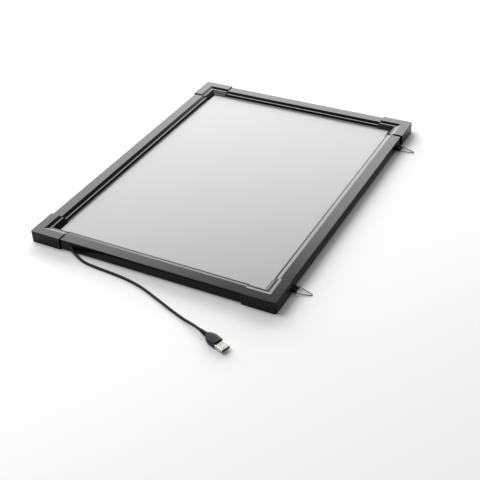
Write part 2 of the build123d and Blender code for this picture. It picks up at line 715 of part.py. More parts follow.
def clip_screws():
    """The screws of both clips, with thin flat heads and cross recesses."""
    screws = []
    low = RAIL_BOTTOM - CLIP_TONGUE
    length = PLATE_TOP - low
    radius = CLIP_SCREW_DIAMETER / 2
    slot = Box(CLIP_DRIVE_LENGTH, CLIP_DRIVE_WIDTH, CLIP_SCREW_HEAD_HEIGHT)
    for name in HANGER_Y:
        for x, y in clip_screw_places(name):
            screw = Pos(x, y, low + length / 2) * Cylinder(radius, length)
            head = Pos(x, y, low - CLIP_SCREW_HEAD_HEIGHT / 2)
            screw += head * Cylinder(CLIP_SCREW_HEAD / 2, CLIP_SCREW_HEAD_HEIGHT)
            face = Pos(x, y, low - CLIP_SCREW_HEAD_HEIGHT)
            screws.append(screw - face * slot - face * Rot(0, 0, 90) * slot)
    return Compound(children=screws)


def ring_apex():
    """How far out the sharp corner of a ring's centreline lies, so that its rounded tip ends the ring."""
    half = RING_BASE / 2
    round_off = RING_CORNER + RING_WIRE / 2
    middle = RING_LENGTH - RING_WIRE / 2 - round_off
    narrow = 1 - (round_off / half) ** 2
    return (middle + math.sqrt(middle**2 - narrow * (middle**2 - round_off**2))) / narrow


def hanger_ring(name):
    """A wire ring, a triangle with rounded corners, resting with its tip on the surface below."""
    half = RING_BASE / 2
    length = RING_LENGTH - RING_WIRE / 2
    outline = polygon([(0, -half), (0, half), (ring_apex(), 0)])
    path = fillet(outline.vertices(), RING_CORNER + RING_WIRE / 2).wire()
    base = path.edges().sort_by(Axis.X)[0]
    start = Plane(origin=base @ 0.5, z_dir=base % 0.5)
    ring = sweep(start * Circle(RING_WIRE / 2), path=path)
    droop = math.degrees(math.asin((RING_HEIGHT - RING_WIRE / 2) / length))
    return Pos(RING_X, HANGER_Y[name], RING_HEIGHT) * Rot(0, droop, 0) * ring


def build_hangers():
    """Clips, screws and rings of both hangers."""
    for name in HANGER_Y:
        parts[f"hanger_clip_{name}"] = hanger_clip(name)
        parts[f"hanger_ring_{name}"] = hanger_ring(name)
    parts["hanger_screws"] = clip_screws()


# ---------------------------------------------------------------------------------------------
# Cord and plug
# ---------------------------------------------------------------------------------------------


def gland():
    """The rubber gland: a tapered boot that leads the cord off to one side, and its flange."""
    base, heading = gland_axis()
    boot = Plane(origin=base, z_dir=heading) * Pos(0, 0, GLAND_LENGTH / 2)
    shape = boot * Cone(GLAND_BASE_DIAMETER / 2, GLAND_TIP_DIAMETER / 2, GLAND_LENGTH)
    shape += Plane(origin=base, z_dir=heading) * Sphere(GLAND_BASE_DIAMETER / 2)
    wall = Pos(GLAND_X, -HALF_Y - GLAND_FLANGE_THICKNESS / 2, GLAND_HEIGHT) * Rot(90, 0, 0)
    shape += wall * Cylinder(GLAND_FLANGE_DIAMETER / 2, GLAND_FLANGE_THICKNESS)
    inside = box(
        (GLAND_X - GLAND_LENGTH, GLAND_X + GLAND_LENGTH),
        (-HALF_Y, -HALF_Y + 2 * GLAND_LENGTH),
        (0, RAIL_TOP),
    )
    shape -= inside
    neck = Pos(GLAND_X, -HALF_Y + RAIL_WALL, GLAND_HEIGHT) * Rot(90, 0, 0)
    return shape + neck * Cylinder(GLAND_BASE_DIAMETER / 2, 2 * RAIL_WALL)


def cord_points():
    """The cord's route, from the tip of the gland to the tail of the plug."""
    base, heading = gland_axis()
    tip = base + heading * GLAND_LENGTH
    first = tip + heading * CORD_FIRST_RUN
    return [tip, first, *[Vector(*place) for place in CORD_ROUTE], Vector(*PLUG_TAIL, PLUG_HEIGHT)]


def corner_radii(points):
    """The radius at each corner of a route, as large as its share of the shorter run allows."""
    radii = []
    for before, here, after in zip(points, points[1:], points[2:]):
        run_in = here - before
        run_out = after - here
        turn = run_in.get_angle(run_out)
        shorter = min(run_in.length, run_out.length)
        radii.append(CORNER_SHARE * shorter / math.tan(math.radians(turn) / 2))
    return radii


def build_cord():
    """The cord, a tube of straight runs joined by arcs, and the gland that it comes out of."""
    points = cord_points()
    radii = corner_radii(points)
    path = FilletPolyline(*points, radius=radii)
    start = Plane(origin=path @ 0, z_dir=path % 0)
    cord = sweep(start * Circle(CORD_DIAMETER / 2), path=path)
    expected = math.pi * CORD_DIAMETER**2 / 4 * path.length
    print("cord radii", [round(radius, 1) for radius in radii])
    print("cord length", round(path.length, 1), "volume over section x length", cord.volume / expected)
    parts["cord_gland"] = gland()
    parts["usb_cord"] = cord


def plug_frame():
    """The plug's frame: X forward from the end of its tail, Z up."""
    heading = Vector(*PLUG_HEADING, 0).normalized()
    return Plane(origin=(*PLUG_TAIL, PLUG_HEIGHT), x_dir=heading, z_dir=(0, 0, 1))


def plug_tail():
    """The flexible tail of the plug: a ribbed cone that widens towards the grip."""
    points = [(0, 0), (0, TAIL_START_DIAMETER / 2)]
    pitch = TAIL_LENGTH / (TAIL_RIBS + 1)
    cut = 0.3 * pitch
    grow = (TAIL_END_DIAMETER - TAIL_START_DIAMETER) / 2 / TAIL_LENGTH
    for index in range(TAIL_RIBS):
        near = (index + 0.75) * pitch
        far = near + cut
        for place, depth in ((near, 0), (near, TAIL_RIB_DEPTH), (far, TAIL_RIB_DEPTH), (far, 0)):
            points.append((place, TAIL_START_DIAMETER / 2 + grow * place - depth))
    collar = TAIL_LENGTH - TAIL_COLLAR
    points += [(collar, TAIL_END_DIAMETER / 2), (collar, TAIL_START_DIAMETER / 2)]
    points += [(TAIL_LENGTH, TAIL_START_DIAMETER / 2), (TAIL_LENGTH, 0)]
    return revolve(polygon(points), axis=Axis.X)


def plug_grip():
    """The moulded grip, leaf shaped from above, with a pocket for the shell."""
    rear = GRIP_REAR_WIDTH / 2
    wide = GRIP_WIDEST / 2
    front = GRIP_FRONT_WIDTH / 2
    end = TAIL_LENGTH + GRIP_LENGTH
    waist = TAIL_LENGTH + GRIP_WIDEST_PLACE
    edge = Spline((TAIL_LENGTH, rear), (waist, wide), (end, front), tangents=[(1, 0.45), (1, -0.25)])
    other = mirror(edge, about=Plane.XZ)
    rear_line = Line((TAIL_LENGTH, -rear), (TAIL_LENGTH, rear))
    front_line = Line((end, front), (end, -front))
    outline = make_face([rear_line, edge, front_line, other])
    grip = extrude(outline, amount=PLUG_THICKNESS / 2, both=True)
    rim = [e for e in grip.edges() if abs(abs(e.center().Z) - PLUG_THICKNESS / 2) < 0.01]
    rim = [e for e in rim if e.length > GRIP_LENGTH]
    grip = fillet(rim, GRIP_EDGE_RADIUS)
    pocket = box(
        (end - SHELL_SUNK, end + OVERRUN),
        (-SHELL_WIDTH / 2 - HOLE_GAP / 2, SHELL_WIDTH / 2 + HOLE_GAP / 2),
        (-SHELL_HEIGHT / 2 - HOLE_GAP / 2, SHELL_HEIGHT / 2 + HOLE_GAP / 2),
    )
    return grip - pocket


def plug_shell():
    """The folded steel shell of the plug, with its four latch windows."""
    end = TAIL_LENGTH + GRIP_LENGTH
    x = (end - SHELL_SUNK, end + SHELL_EXPOSED)
    half_y = SHELL_WIDTH / 2
    half_z = SHELL_HEIGHT / 2
    shell = box(x, (-half_y, half_y), (-half_z, half_z))
    shell = fillet(shell.edges().filter_by(Axis.X), SHELL_EDGE_RADIUS)
    shell -= box(
        (x[0] - OVERRUN, x[1] + OVERRUN),
        (-half_y + SHELL_WALL, half_y - SHELL_WALL),
        (-half_z + SHELL_WALL, half_z - SHELL_WALL),
    )
    start = end + WINDOW_PLACE
    for side in (-1, 1):
        middle = side * WINDOW_OFFSET
        shell -= box(
            (start, start + WINDOW_SIDE),
            (middle - WINDOW_SIDE / 2, middle + WINDOW_SIDE / 2),
            (-half_z - OVERRUN, half_z + OVERRUN),
        )
    return shell


def build_plug():
    """The plug on the end of the cord: tail, grip, shell, tongue and contacts."""
    frame = plug_frame()
    end = TAIL_LENGTH + GRIP_LENGTH
    parts["usb_plug_tail"] = frame * plug_tail()
    parts["usb_plug_grip"] = frame * plug_grip()
    parts["usb_plug_shell"] = frame * plug_shell()
    half = SHELL_WIDTH / 2 - SHELL_WALL
    top = SHELL_HEIGHT / 2 - SHELL_WALL
    tip = end + SHELL_EXPOSED - TONGUE_SET_BACK
    root = end - SHELL_SUNK
    tongue_bottom = top - TONGUE_THICKNESS
    tongue = box((root, tip), (-half, half), (tongue_bottom, top))
    tongue += box((root, root + TONGUE_ROOT), (-half, half), (-top, top))
    parts["usb_plug_tongue"] = frame * tongue
    contacts = []
    for y in CONTACT_PLACES:
        across = (y - CONTACT_WIDTH / 2, y + CONTACT_WIDTH / 2)
        height = (tongue_bottom - CONTACT_THICKNESS, tongue_bottom)
        contacts.append(frame * box((end, tip - CONTACT_SET_BACK), across, height))
    parts["usb_contacts"] = Compound(children=contacts)


def main():
    """Build every sub-part and write each to its own file."""
    build_rails()
    build_corners()
    build_light_stack()
    build_electronics()
    build_socket()
    build_hangers()
    build_cord()
    build_plug()
    os.makedirs("parts", exist_ok=True)
    for name, shape in parts.items():
        export_step(shape, f"parts/{name}.step")
    print(len(parts), "sub-parts")


main()
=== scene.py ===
# %% [markdown]
# # An LED panel light on a pale studio floor
# The panel is a thin frame of black aluminium rails with moulded corners. An opal sheet glows when
# the LEDs along its edges are on. Here the panel is off and lies face up, with its short USB lead in
# front. The engineering model is loaded first and stays fixed: finishes are painted onto its parts,
# and the pieces that deserve finer detail are rebuilt in place.

# %% Load the model
import math

import bmesh
import bpy
from mathutils import Matrix, Vector


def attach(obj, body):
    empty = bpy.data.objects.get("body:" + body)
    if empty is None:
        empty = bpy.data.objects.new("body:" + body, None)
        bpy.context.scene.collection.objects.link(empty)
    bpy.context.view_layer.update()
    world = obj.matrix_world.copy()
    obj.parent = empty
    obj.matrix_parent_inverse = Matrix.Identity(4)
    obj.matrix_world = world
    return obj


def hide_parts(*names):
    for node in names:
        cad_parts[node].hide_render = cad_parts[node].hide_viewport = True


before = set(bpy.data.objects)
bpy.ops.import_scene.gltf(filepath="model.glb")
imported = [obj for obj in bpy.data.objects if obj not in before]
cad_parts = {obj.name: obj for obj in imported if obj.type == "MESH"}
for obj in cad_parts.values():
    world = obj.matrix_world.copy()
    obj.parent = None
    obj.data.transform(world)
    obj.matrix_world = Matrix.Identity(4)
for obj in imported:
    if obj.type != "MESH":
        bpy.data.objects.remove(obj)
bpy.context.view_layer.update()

MM = 0.001

# %% [markdown]
# ## The camera
# The panel is seen from standing height through a short telephoto lens, which keeps the far rail
# from looking much smaller than the near one. The camera is placed by its own three
# axes, so that nothing has to be aimed: the matrix's columns are right, up and backwards.

# %% Camera
CAMERA_PLACE = Vector((0.5415, -0.9721, 0.6938))
CAMERA_RIGHT = Vector((0.88628779, 0.46164242, -0.03715151))
CAMERA_FORWARD = Vector((-0.39520912, 0.71204045, -0.58035174))
LENS_MM = 70.2



def add_object(name, data):
    """A new object with this data, linked into the scene."""
    made = bpy.data.objects.new(name, data)
    bpy.context.collection.objects.link(made)
    return made


forward = CAMERA_FORWARD.normalized()
right = (CAMERA_RIGHT - forward * CAMERA_RIGHT.dot(forward)).normalized()
up = right.cross(forward)
camera_data = bpy.data.cameras.new("studio_camera")
camera_data.lens = LENS_MM
camera_data.sensor_width = 36.0
camera_data.clip_end = 50.0
camera = add_object("studio_camera", camera_data)
axes = Matrix((right, up, -forward)).transposed()
camera.matrix_world = Matrix.Translation(CAMERA_PLACE) @ axes.to_4x4()
bpy.context.scene.camera = camera
print("camera looks down by", round(math.degrees(math.asin(-forward.z)), 1), "degrees")

# %% [markdown]
# ## The USB lead
# A real lead is a flexible round cable of fixed length, so it is drawn as one smooth NURBS line
# with a round bevel, not as bent tube pieces. Its control points are listed: out of the
# gland, down to the floor, along it in a long easy curve, and up again into the plug. Order 3 with
# end points keeps the line close to them. Order and end points are set after the points exist.

# %% USB lead
LEAD_DIAMETER = 3.2 * MM
LEAD_POINTS_MM = [
    (-103.542, -238.369, 4.4005), (-98.383, -241.188, 3.2008), (-90.5, -244.1, 2.1),
    (-79.5, -247.0, 1.65), (-62.0, -248.7, 1.65), (-43.0, -249.9, 1.65), (-24.5, -251.6, 1.65),
    (-7.0, -254.6, 1.65), (10.0, -259.1, 1.65), (28.5, -266.4, 1.65), (46.0, -273.4, 1.65),
    (64.0, -280.8, 1.65), (81.0, -287.0, 1.65), (93.5, -291.4, 2.7), (103.0, -294.8, 3.9),
    (111.4, -298.1, 3.9),
]


def smooth_line(name, points):
    """A curve object with one open NURBS spline through given control points, in metres."""
    curve = bpy.data.curves.new(name, "CURVE")
    curve.dimensions = "3D"
    curve.resolution_u = 12
    spline = curve.splines.new("NURBS")
    spline.points.add(len(points) - 1)
    for point, place in zip(spline.points, points):
        point.co = (*place, 1.0)
    spline.order_u = 3
    spline.use_endpoint_u = True
    return add_object(name, curve)


lead_points = [tuple(v * MM for v in place) for place in LEAD_POINTS_MM]
usb_lead = smooth_line("usb_lead", lead_points)
usb_lead.data.bevel_depth = LEAD_DIAMETER / 2
usb_lead.data.bevel_resolution = 6
print("lead has", len(lead_points), "control points")

# %% [markdown]
# ## Floor and lights
# The set is a plain pale floor and soft boxes. Black parts have hardly any colour of their own,
# so what shapes them is what they mirror: a long, low light wall behind the panel shines in the
# rails' tops and in the slopes that face it, while the slopes that face the dark ceiling stay
# black. A box on the left, too high to be mirrored, lights the floor and the opal sheet. A little
# more contrast keeps the black parts deep against so much white.

# %% Floor and lights
def node_of(tree, kind, inputs=None, **settings):
    """Add a node, set its properties, and link or fill its inputs, by name or by number."""
    node = tree.nodes.new(kind)
    for key, value in settings.items():
        setattr(node, key, value)
    for key, value in (inputs or {}).items():
        if isinstance(value, bpy.types.NodeSocket):
            tree.links.new(value, node.inputs[key])
        else:
            node.inputs[key].default_value = value
    return node


def soft_box(name, place, target, size, radiance):
    """A rectangular light aimed at a target, with its strength given as brightness per area."""
    light = bpy.data.lights.new(name, "AREA")
    light.shape = "RECTANGLE"
    light.size, light.size_y = size
    light.energy = radiance * math.pi * size[0] * size[1]
    box = add_object(name, light)
    aim = (Vector(target) - Vector(place)).to_track_quat("-Z", "Y")
    box.matrix_world = Matrix.LocRotScale(Vector(place), aim, None)
    return box


FLOOR_HALF = 8.0
FLOOR_WHITE = 0.97
ROOM_BRIGHTNESS = 0.22
floor_mesh = bpy.data.meshes.new("floor")
corners = [(-FLOOR_HALF, -FLOOR_HALF, 0), (FLOOR_HALF, -FLOOR_HALF, 0), (FLOOR_HALF, FLOOR_HALF, 0),
           (-FLOOR_HALF, FLOOR_HALF, 0)]
floor_mesh.from_pydata(corners, [], [(0, 1, 2, 3)])
floor_paint = bpy.data.materials.new("floor_paint")
floor_paint.use_nodes = True
floor_shader = floor_paint.node_tree.nodes["Principled BSDF"]
floor_shader.inputs["Base Color"].default_value = (FLOOR_WHITE, FLOOR_WHITE, FLOOR_WHITE, 1)
floor_shader.inputs["Roughness"].default_value = 0.9
floor_shader.inputs["Specular IOR Level"].default_value = 0.1
floor_mesh.materials.append(floor_paint)
floor = add_object("floor", floor_mesh)

soft_box("light_wall", place=(-1.4, 2.1, 1.0), target=(-0.1, 0.0, 0.3), size=(4.6, 1.9), radiance=4.4)
soft_box("top_box", place=(-1.3, -0.2, 1.8), target=(0.0, 0.0, 0.0), size=(1.4, 1.4), radiance=3.9)
world = bpy.data.worlds.new("studio_room")
world.use_nodes = True
room = world.node_tree.nodes["Background"]
room.inputs["Color"].default_value = (1, 1, 1, 1)
room.inputs["Strength"].default_value = ROOM_BRIGHTNESS
bpy.context.scene.world = world
view = bpy.context.scene.view_settings
view.view_transform = "Standard"
view.look = "Medium High Contrast"

# %% [markdown]
# ## How a finish is made
# Every finish starts from the same base: the object's own coordinates feed a fine noise, and the
# noise does two jobs. It varies the roughness a little, so that reflections aren't the same all
# over, and it drives a bump, so that light catches the grain. Stretching the coordinates turns
# round grain into the long die lines of an extrusion. Colour and metalness stay on the shader.

# %% Finish helper
def new_finish(name, colour, roughness, metallic=0.0, **sockets):
    """A material whose constant values sit on the shader's own sockets. Extra ones go by name."""
    material = bpy.data.materials.new(name)
    material.use_nodes = True
    shader = material.node_tree.nodes["Principled BSDF"]
    shader.inputs["Base Color"].default_value = (*colour, 1)
    shader.inputs["Roughness"].default_value = roughness
    shader.inputs["Metallic"].default_value = metallic
    for key, value in sockets.items():
        shader.inputs[key.replace("_", " ")].default_value = value
    return material


def add_grain(material, scale, bump, spread=0.0, stretch=(1, 1, 1), detail=3.0):
    """Give a finish its grain: bump height in metres, spread as the swing in roughness."""
    tree = material.node_tree
    shader = tree.nodes["Principled BSDF"]
    place = node_of(tree, "ShaderNodeTexCoord")
    scaled = node_of(tree, "ShaderNodeMapping", {"Vector": place.outputs["Object"], "Scale": stretch})
    noise = node_of(tree, "ShaderNodeTexNoise",
                    {"Vector": scaled.outputs[0], "Scale": scale, "Detail": detail})
    height = node_of(tree, "ShaderNodeBump",
                     {"Height": noise.outputs["Fac"], "Distance": bump, "Strength": 1.0})
    tree.links.new(height.outputs["Normal"], shader.inputs["Normal"])
    if spread:
        middle = shader.inputs["Roughness"].default_value
        swing = node_of(tree, "ShaderNodeMapRange", {
            "Value": noise.outputs["Fac"], "From Min": 0.3, "From Max": 0.7,
            "To Min": middle - spread, "To Max": middle + spread})
        tree.links.new(swing.outputs[0], shader.inputs["Roughness"])
    return material


def paint(names, material):
    """Put a finish on CAD nodes, in the material slots that their objects already have."""
    for name in names:
        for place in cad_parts[name].material_slots:
            place.material = material


def named(*starts):
    """The CAD nodes whose names begin with any of these words."""
    return [name for name in sorted(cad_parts) if name.startswith(starts)]


print("nodes to paint", len(named("")))

# %% [markdown]
# ## Black anodised rails
# The rails are aluminium, pushed hot through a steel die and then dyed black. The die leaves very
# fine lines along each rail, and the dyed oxide is a thin glassy layer over dark metal. So the
# shader is a dark dielectric with a satin surface, and its grain is stretched a hundred times
# along the rail: along X for the short rails and along Y for the long ones.

# %% Rails
RAIL_COLOUR = (0.003, 0.003, 0.003)
BLACK_GLEAM = 0.3
for sides, stretch in ((("rail_front", "rail_back"), (0.01, 1, 1)),
                       (("rail_left", "rail_right"), (1, 0.01, 1))):
    anodised = new_finish("black_anodising_" + sides[0][5:], RAIL_COLOUR, 0.2,
                          Specular_IOR_Level=BLACK_GLEAM)
    add_grain(anodised, 2400, 0.000002, 0.02, stretch)
    paint(sides, anodised)
print("rails painted", named("rail_"))

# %% [markdown]
# ## Moulded corner blocks
# The corners are injection-moulded plastic. The mould was spark-eroded, which leaves a fine even
# grain, and its sheen is close to that of the anodising. Two noises would be more than the eye can
# tell at this size, so one fine noise does both bump and sheen.

# %% Corner blocks
PLASTIC_BLACK = (0.004, 0.004, 0.004)
moulded = new_finish("black_moulding", PLASTIC_BLACK, 0.22, Specular_IOR_Level=BLACK_GLEAM)
add_grain(moulded, 3200, 0.000004, 0.03)
paint(named("corner_block"), moulded)
print("blocks painted", len(named("corner_block")))

# %% [markdown]
# ## The opal sheet and what lies under it
# The diffuser is acrylic filled with white pigment, with a satin top against glare. It scatters
# light inside its first tenths of a millimetre, which a plain diffuse colour already gives at this
# scale, so there is no need for true scattering. With the LEDs off it looks grey rather than white.
# The grain only softens what it mirrors. The dark line round it is foam, pressed between the sheet
# and the frame's lip.

# %% Diffuser and sheets
opal = new_finish("opal_acrylic", (0.345, 0.35, 0.345), 0.33)
add_grain(opal, 1500, 0.000006, 0.03)
paint(["diffuser_sheet"], opal)
foam = new_finish("black_foam", (0.008, 0.008, 0.008), 0.95)
add_grain(foam, 2600, 0.00012, 0.0, detail=6.0)
paint(named("gasket_"), foam)
clear = new_finish("clear_acrylic", (0.93, 0.95, 0.95), 0.08, Alpha=0.35)
add_grain(clear, 900, 0.000004, 0.02)
paint(["light_guide"], clear)
film = new_finish("white_film", (0.9, 0.9, 0.9), 0.6)
add_grain(film, 2000, 0.00001, 0.05)
paint(["reflector_sheet"], film)
board_black = new_finish("black_back_board", (0.03, 0.03, 0.032), 0.55)
add_grain(board_black, 1800, 0.00003, 0.06)
paint(["back_panel"], board_black)
print("sheets painted", ["diffuser_sheet", "light_guide", "reflector_sheet", "back_panel"])

# %% [markdown]
# ## Inside the frame
# What is sealed inside still gets a true finish, because someone may take the model apart: green
# solder mask, white strip boards, epoxy chips, nylon, insulated wire and plated metal. Each is a
# line in a table of colour, roughness, metalness, grain size and grain height.

# %% Inner parts
INNER_FINISHES = {
    "green_solder_mask": ((0.03, 0.16, 0.06), 0.35, 0.0, 1500, 1e-5,
                          ("control_board", "receiver_module")),
    "white_solder_mask": ((0.82, 0.82, 0.8), 0.4, 0.0, 1500, 1e-5, ("led_strip_",)),
    "chip_epoxy": ((0.02, 0.02, 0.02), 0.5, 0.0, 3000, 2e-5, ("driver_chip", "inductor")),
    "can_sleeve": ((0.5, 0.5, 0.52), 0.3, 0.8, 2000, 8e-6, ("capacitors",)),
    "natural_nylon": ((0.7, 0.69, 0.64), 0.5, 0.0, 1200, 2e-5, ("board_tray",)),
    "red_insulation": ((0.45, 0.02, 0.015), 0.45, 0.0, 2500, 1e-5, ("dc_leads",)),
    "white_insulation": ((0.75, 0.75, 0.73), 0.45, 0.0, 2500, 1e-5, ("led_leads",)),
    "socket_moulding": ((0.012, 0.012, 0.012), 0.3, 0.0, 2600, 1e-5, ("dc_socket",)),
    "nickel_pin": ((0.7, 0.69, 0.66), 0.18, 1.0, 2600, 4e-6, ("dc_socket_pin",)),
    "zinc_plate": ((0.55, 0.56, 0.56), 0.34, 1.0, 700, 1.5e-5, ("corner_plate",)),
    "clip_plastic": ((0.005, 0.005, 0.005), 0.42, 0.0, 3200, 1.5e-5, ("hanger_clip",)),
    "phosphor": ((0.86, 0.72, 0.22), 0.5, 0.0, 3000, 1e-5, ("leds_",)),
    "ring_steel": ((0.2, 0.2, 0.2), 0.3, 1.0, 4000, 6e-6, ("hanger_ring",)),
    "nickel_shell": ((0.66, 0.65, 0.62), 0.24, 1.0, 1800, 5e-6, ("usb_plug_shell",)),
    "tongue_white": ((0.8, 0.8, 0.78), 0.4, 0.0, 1800, 8e-6, ("usb_plug_tongue",)),
    "gold_contact": ((0.75, 0.5, 0.2), 0.25, 1.0, 2400, 4e-6, ("usb_contacts",)),
}
for name, (colour, roughness, metallic, scale, bump, nodes) in INNER_FINISHES.items():
    finish = add_grain(new_finish(name, colour, roughness, metallic), scale, bump, 0.04)
    paint(named(*nodes), finish)
print("inner finishes", len(INNER_FINISHES))

# %% [markdown]
# ## Lead rubber
# The lead's jacket is soft black plastic, a little shiny from extrusion. Its gland is the same
# stuff, so one finish serves both. The plug is a harder plastic and gets its own.

# %% Lead finish
jacket = new_finish("black_jacket", PLASTIC_BLACK, 0.38, Specular_IOR_Level=BLACK_GLEAM)
add_grain(jacket, 2200, 0.00002, 0.05)
usb_lead.data.materials.append(jacket)
print("lead finish", jacket.name)

# %% [markdown]
# ## Boots that bend: a Geometry Nodes recipe
# A cable is led out of a housing by a soft tapered boot with ribs, which bends without kinking.
# It could be turned on a lathe, but the boot also has to follow a bent line. So a node tree takes a
# curve, spreads points along it, gives each point a radius by a rule (a taper, less a dip between
# ribs) and sweeps a circle along. The same tree makes the gland and the tail of the plug.

# %% Boot recipe
def new_tree(name, sizes):
    """A Geometry Nodes tree with a geometry input, a material input and named sizes."""
    tree = bpy.data.node_groups.new(name, "GeometryNodeTree")
    tree.interface.new_socket(name="Geometry", in_out="INPUT", socket_type="NodeSocketGeometry")
    tree.interface.new_socket(name="Finish", in_out="INPUT", socket_type="NodeSocketMaterial")
    for size in sizes:
        kind = "NodeSocketInt" if size.startswith("Count") else "NodeSocketFloat"
        tree.interface.new_socket(name=size, in_out="INPUT", socket_type=kind)
    tree.interface.new_socket(name="Geometry", in_out="OUTPUT", socket_type="NodeSocketGeometry")
    return tree, tree.nodes.new("NodeGroupInput").outputs


def end_tree(tree, geometry, finish):
    """Close a tree: real geometry instead of instances, then the finish."""
    real = node_of(tree, "GeometryNodeRealizeInstances", {"Geometry": geometry})
    shown = node_of(tree, "GeometryNodeSetMaterial",
                    {"Geometry": real.outputs[0], "Material": finish})
    tree.links.new(shown.outputs[0], tree.nodes.new("NodeGroupOutput").inputs[0])


def grow(start, tree, name, finish, sizes):
    """Run a tree on a start object and keep the result as a plain mesh object of its own."""
    modifier = start.modifiers.new("recipe", "NODES")
    modifier.node_group = tree
    for item in tree.interface.items_tree:
        if item.in_out == "INPUT" and item.name in sizes:
            modifier[item.identifier] = sizes[item.name]
        if item.in_out == "INPUT" and item.name == "Finish":
            modifier[item.identifier] = finish
    bpy.context.view_layer.update()
    evaluated = start.evaluated_get(bpy.context.evaluated_depsgraph_get())
    mesh = bpy.data.meshes.new_from_object(evaluated)
    start.modifiers.remove(modifier)
    bpy.data.objects.remove(start)
    mesh.name = name
    return add_object(name, mesh)


def math_of(tree, operation, *values):
    """One arithmetic node: each value is a number or another node's output."""
    return node_of(tree, "ShaderNodeMath", dict(enumerate(values)), operation=operation).outputs[0]


BOOT_STEPS = 140
BOOT_SIDES = 40


def boot_tree():
    """Sweep a circle along a curve, with a radius that tapers and dips between ribs."""
    tree, given = new_tree("ribbed_boot", ["Start Radius", "End Radius", "Rib Depth", "Count Ribs"])
    line = node_of(tree, "GeometryNodeResampleCurve", {"Curve": given["Geometry"], "Count": BOOT_STEPS})
    along = node_of(tree, "GeometryNodeSplineParameter").outputs["Factor"]
    taper = node_of(tree, "ShaderNodeMapRange", {
        "Value": along, "To Min": given["Start Radius"], "To Max": given["End Radius"]}).outputs[0]
    wave = math_of(tree, "COSINE", math_of(tree, "MULTIPLY", along, math_of(
        tree, "MULTIPLY", given["Count Ribs"], 2 * math.pi)))
    dip = node_of(tree, "ShaderNodeMapRange", {"Value": wave, "From Min": -0.15, "From Max": -0.75},
                  interpolation_type="SMOOTHSTEP")
    depth = math_of(tree, "MULTIPLY", dip.outputs[0], given["Rib Depth"])
    radius = math_of(tree, "SUBTRACT", taper, depth)
    circle = node_of(tree, "GeometryNodeCurvePrimitiveCircle",
                     {"Resolution": BOOT_SIDES, "Radius": 1.0})
    swept = node_of(tree, "GeometryNodeCurveToMesh", {
        "Curve": line.outputs[0], "Profile Curve": circle.outputs[0], "Scale": radius,
        "Fill Caps": True})
    end_tree(tree, swept.outputs[0], given["Finish"])
    return tree


BOOT = boot_tree()
print("boot tree has", len(BOOT.nodes), "nodes")

# %% [markdown]
# ## The gland
# The lead leaves the front rail through a short boot that points along the rail, so that the lead
# can lie beside the panel. A thin flange holds the boot in its hole. The flange is a lathe shape
# with a rounded rim, and the boot is swept along a line that turns from the hole to the lead.

# %% Gland
GLAND_AT = Vector((-113.0, -233.2, 6.6)) * MM
GLAND_HEADING = Vector((0.86, -0.47, -0.20)).normalized()
GLAND_LENGTH = 11.0 * MM
gland_tip = GLAND_AT + GLAND_HEADING * GLAND_LENGTH


def loft(name, rings, finish):
    """Skin a row of closed rings of points into one closed mesh."""
    shape = bmesh.new()
    loops = [[shape.verts.new(point) for point in ring] for ring in rings]
    for low, high in zip(loops, loops[1:]):
        for step in range(len(low)):
            after = (step + 1) % len(low)
            shape.faces.new((low[step], low[after], high[after], high[step]))
    shape.faces.new(reversed(loops[0]))
    shape.faces.new(loops[-1])
    bmesh.ops.recalc_face_normals(shape, faces=shape.faces)
    mesh = bpy.data.meshes.new(name)
    shape.to_mesh(mesh)
    shape.free()
    mesh.materials.append(finish)
    return add_object(name, mesh)


def turned_rings(profile, place, axis, steps=48):
    """The rings of a lathe shape, from (distance along, radius) pairs about an axis."""
    turn = axis.normalized().to_track_quat("Z", "Y")
    rings = []
    for along, radius in profile:
        angles = [2 * math.pi * step / steps for step in range(steps)]
        rings.append([place + turn @ Vector((radius * math.cos(angle), radius * math.sin(angle), along))
                      for angle in angles])
    return rings


def soften(piece, angle):
    """Shade a mesh smooth, but keep its real edges crisp."""
    for face in piece.data.polygons:
        face.use_smooth = True
    piece.data.set_sharp_from_angle(angle=math.radians(angle))
    return piece


# How far along the flange, and its radius there
FLANGE_MM = [(-1.0, 2.6), (0.0, 2.6), (0.0, 3.7), (0.12, 3.92), (0.35, 4.0), (0.6, 3.9), (0.75, 3.65),
             (0.8, 3.3)]
flange_profile = [(along * MM, radius * MM) for along, radius in FLANGE_MM]
flange = loft("gland_flange", turned_rings(flange_profile, GLAND_AT, Vector((0, -1, 0))), jacket)
soften(flange, 50)
gland_line = smooth_line("gland_line", [
    GLAND_AT + Vector((0, 0.8, 0)) * MM, GLAND_AT + GLAND_HEADING * 0.9 * MM,
    GLAND_AT + GLAND_HEADING * 0.5 * GLAND_LENGTH, gland_tip])
gland_boot = grow(gland_line, BOOT, "gland_boot", jacket, {
    "Start Radius": 2.75 * MM, "End Radius": 2.1 * MM, "Rib Depth": 0.35 * MM, "Count Ribs": 5})
soften(gland_boot, 60)
print("gland tip at", [round(v / MM, 2) for v in gland_tip])

# %% [markdown]
# ## The plug
# The plug's grip is moulded over the shell: leaf shaped from above, with soft edges and shallow
# finger grooves. It is lofted from rounded sections, each one as wide as the leaf at that place.
# The steel shell, its tongue and its contacts already have their true shape, so they keep it.

# %% Plug
PLUG_TAIL = Vector((111.4, -298.1, 3.9)) * MM
PLUG_HEADING = Vector((0.93, -0.368, 0.0)).normalized()
PLUG_SIDE = Vector((0, 0, 1)).cross(PLUG_HEADING)
TAIL_LENGTH = 12.0 * MM
GRIP_LENGTH_MM = 20.0
GRIP_THICKNESS_MM = 7.8
GRIP_SECTIONS = 72
# Below 1 the section is squarer than an ellipse
GRIP_SQUARENESS = 0.42
